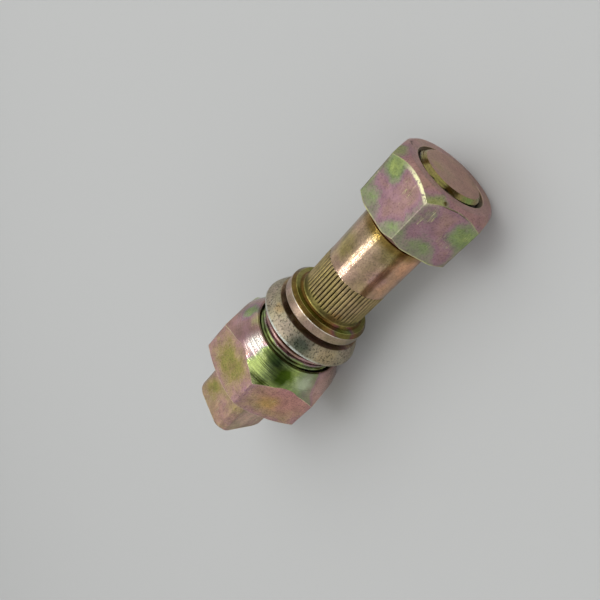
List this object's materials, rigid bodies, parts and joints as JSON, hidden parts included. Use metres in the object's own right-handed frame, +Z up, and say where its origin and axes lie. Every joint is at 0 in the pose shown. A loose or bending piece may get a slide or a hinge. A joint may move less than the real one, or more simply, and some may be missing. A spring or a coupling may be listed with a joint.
{
  "type": "wheel stud",
  "caption": "Truck wheel stud lying on its side: knurled shank with a collar, hub nut, sleeve nut with a ball seat and square end, and an outer hex nut.",
  "frame": {"origin": "centre of the collar's hub-side face, on the stud's axis", "axes": "+X along the stud towards the hub nut; +Z up, square to the flats that both hexagon nuts rest on; +Y across"},
  "size_m": [0.1268, 0.0474, 0.041],
  "materials": {
    "stud_zinc": "yellow passivated zinc plating, satin",
    "hub_nut_zinc": "yellow passivated zinc plating with rose and green bloom",
    "inner_nut_zinc": "zinc plating, dull silver on the ball seat and rose on the square end",
    "outer_nut_zinc": "yellow passivated zinc plating with a bright turned ball seat"
  },
  "bodies": {
    "stud": {"stud": "stud_zinc"},
    "hub_nut": {"hub_nut": "hub_nut_zinc"},
    "inner_nut": {"inner_nut": "inner_nut_zinc"},
    "outer_nut": {"outer_nut": "outer_nut_zinc"}
  },
  "joints": [
    {"name": "hub_nut_travel", "type": "slide", "parent": "stud", "child": "hub_nut", "axis": [1, 0, 0], "range_m": [0, 0.06]},
    {"name": "inner_nut_travel", "type": "slide", "parent": "stud", "child": "inner_nut", "axis": [-1, 0, 0], "range_m": [-0.0015, 0.03]},
    {"name": "outer_nut_travel", "type": "slide", "parent": "inner_nut", "child": "outer_nut", "axis": [-1, 0, 0], "range_m": [-0.006, 0.048]}
  ]
}
